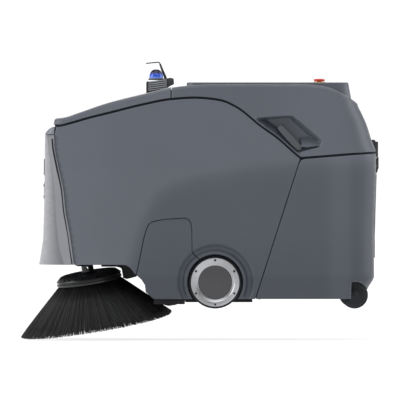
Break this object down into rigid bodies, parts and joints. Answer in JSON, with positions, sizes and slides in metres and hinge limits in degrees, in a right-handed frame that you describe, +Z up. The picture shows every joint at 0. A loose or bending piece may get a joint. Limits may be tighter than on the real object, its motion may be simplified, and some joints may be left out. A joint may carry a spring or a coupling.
{
  "type": "driverless floor sweeper",
  "caption": "Driverless floor sweeper with cone side brushes, roller brush, hinged hoods and brush doors, and a pull-out dust bin trolley with handle, latch and wheels.",
  "frame": {"origin": "middle of the footprint, at the height of the lowest hanging bristle tip", "axes": "+Z up, -X to the front of the machine, -Y to its left side"},
  "size_m": [0.9321, 0.8008, 0.7246],
  "materials": {
    "panel": "satin",
    "front_light": "satin",
    "dark_plastic": "matte",
    "frame": "satin",
    "steel": "satin",
    "aluminium": "satin",
    "rubber": "matte",
    "tyre": "matte",
    "bristle": "matte",
    "hub_cap": "satin",
    "screen": "gloss",
    "red": "satin",
    "beacon_grey": "satin",
    "beacon_blue": "gloss",
    "battery": "satin",
    "bucket": "matte",
    "filter": "matte",
    "brush_plate": "matte"
  },
  "bodies": {
    "root": {"chassis_frame": "frame", "side_panel_left": "panel", "side_panel_right": "panel", "front_panel": "front_light", "nose_bezel": "panel", "front_window": "screen", "front_sensors": "dark_plastic", "hub_motor_left": "aluminium", "hub_motor_right": "aluminium", "side_skirt_left": "rubber", "side_skirt_right": "rubber", "lift_guide_left": "aluminium", "lift_guide_right": "aluminium", "roller_housing": "dark_plastic", "roller_motor": "aluminium", "roller_belt": "rubber", "battery_pack": "battery", "controller_box": "aluminium", "fan_housing": "dark_plastic", "filter_cartridge": "filter"},
    "front_hood": {"front_hood": "panel", "beacon_base": "beacon_grey", "beacon_dome": "beacon_blue", "beacon_guard": "dark_plastic"},
    "rear_hood": {"rear_hood": "panel", "side_grip_left": "dark_plastic", "side_grip_right": "dark_plastic", "top_deck": "panel", "touch_screen": "screen", "estop_base": "dark_plastic"},
    "estop_button": {"estop_button": "red"},
    "dust_bin": {"bin_shell": "panel", "bin_bucket": "bucket", "bin_axle": "steel", "handle_guides": "dark_plastic"},
    "pull_handle": {"pull_handle": "dark_plastic"},
    "latch_lever": {"latch_lever": "dark_plastic"},
    "roller": {"roller_core": "aluminium", "roller_bristles": "bristle"},
    "fan": {"fan_impeller": "aluminium"},
    "drive_wheel_left": {"drive_tyre_left": "tyre", "drive_hub_left": "steel", "drive_cap_left": "hub_cap"},
    "bin_wheel_left": {"bin_wheel_left": "tyre"},
    "brush_door_left": {"brush_door_left": "panel", "door_skirt_left": "rubber"},
    "brush_carriage_left": {"side_brush_carriage_left": "dark_plastic", "side_brush_motor_left": "aluminium"},
    "side_brush_left": {"side_brush_plate_left": "brush_plate", "side_brush_bristles_left": "bristle"},
    "drive_wheel_right": {"drive_tyre_right": "tyre", "drive_hub_right": "steel", "drive_cap_right": "hub_cap"},
    "bin_wheel_right": {"bin_wheel_right": "tyre"},
    "brush_door_right": {"brush_door_right": "panel", "door_skirt_right": "rubber"},
    "brush_carriage_right": {"side_brush_carriage_right": "dark_plastic", "side_brush_motor_right": "aluminium"},
    "side_brush_right": {"side_brush_plate_right": "brush_plate", "side_brush_bristles_right": "bristle"}
  },
  "joints": [
    {"name": "drive_wheel_spin_left", "type": "hinge", "parent": "root", "child": "drive_wheel_left", "pos_m": [0.0393, 0, 0.1494], "axis": [0, 1, 0], "continuous": true},
    {"name": "bin_wheel_spin_left", "type": "hinge", "parent": "dust_bin", "child": "bin_wheel_left", "pos_m": [0.4004, 0, 0.1164], "axis": [0, 1, 0], "continuous": true},
    {"name": "brush_door_hinge_left", "type": "hinge", "parent": "root", "child": "brush_door_left", "pos_m": [-0.08, -0.361, 0.314], "axis": [-1, 0, 0], "range_deg": [0, 80]},
    {"name": "side_brush_lift_left", "type": "slide", "parent": "root", "child": "brush_carriage_left", "axis": [0, 0, 1], "range_m": [0, 0.088], "deforming": ["side_brush_bristles_left"]},
    {"name": "side_brush_spin_left", "type": "hinge", "parent": "brush_carriage_left", "child": "side_brush_left", "pos_m": [-0.28795, -0.21326, 0.14851], "axis": [-0.1624, -0.0952, 0.9821], "continuous": true},
    {"name": "drive_wheel_spin_right", "type": "hinge", "parent": "root", "child": "drive_wheel_right", "pos_m": [0.0393, 0, 0.1494], "axis": [0, 1, 0], "continuous": true},
    {"name": "bin_wheel_spin_right", "type": "hinge", "parent": "dust_bin", "child": "bin_wheel_right", "pos_m": [0.4004, 0, 0.1164], "axis": [0, 1, 0], "continuous": true},
    {"name": "brush_door_hinge_right", "type": "hinge", "parent": "root", "child": "brush_door_right", "pos_m": [-0.08, 0.361, 0.314], "axis": [1, 0, 0], "range_deg": [0, 80]},
    {"name": "side_brush_lift_right", "type": "slide", "parent": "root", "child": "brush_carriage_right", "axis": [0, 0, 1], "range_m": [0, 0.088], "deforming": ["side_brush_bristles_right"]},
    {"name": "side_brush_spin_right", "type": "hinge", "parent": "brush_carriage_right", "child": "side_brush_right", "pos_m": [-0.28795, 0.21326, 0.14851], "axis": [-0.1624, 0.0952, 0.9821], "continuous": true},
    {"name": "roller_spin", "type": "hinge", "parent": "root", "child": "roller", "pos_m": [-0.078, 0, 0.139], "axis": [0, 1, 0], "continuous": true},
    {"name": "fan_spin", "type": "hinge", "parent": "root", "child": "fan", "pos_m": [-0.052, 0, 0.34], "axis": [0, 0, 1], "continuous": true},
    {"name": "front_hood_hinge", "type": "hinge", "parent": "root", "child": "front_hood", "pos_m": [-0.376, 0, 0.562], "axis": [0, -1, 0], "range_deg": [0, 70]},
    {"name": "rear_hood_hinge", "type": "hinge", "parent": "root", "child": "rear_hood", "pos_m": [-0.068, 0, 0.657], "axis": [0, -1, 0], "range_deg": [0, 58]},
    {"name": "estop_press", "type": "slide", "parent": "rear_hood", "child": "estop_button", "axis": [0, 0, -1], "range_m": [0, 0.004], "stiffness_N_per_m": 1500, "springref_m": -0.002},
    {"name": "dust_bin_slide", "type": "slide", "parent": "root", "child": "dust_bin", "axis": [1, 0, 0], "range_m": [0, 0.45]},
    {"name": "pull_handle_slide", "type": "slide", "parent": "dust_bin", "child": "pull_handle", "axis": [0.031, 0, 0.9995], "range_m": [0, 0.14]},
    {"name": "latch_lever_hinge", "type": "hinge", "parent": "dust_bin", "child": "latch_lever", "pos_m": [0.4592, 0, 0.44], "axis": [0, 1, 0], "range_deg": [0, 35], "stiffness_Nm_per_rad": 0.4, "springref_deg": -34.38}
  ]
}
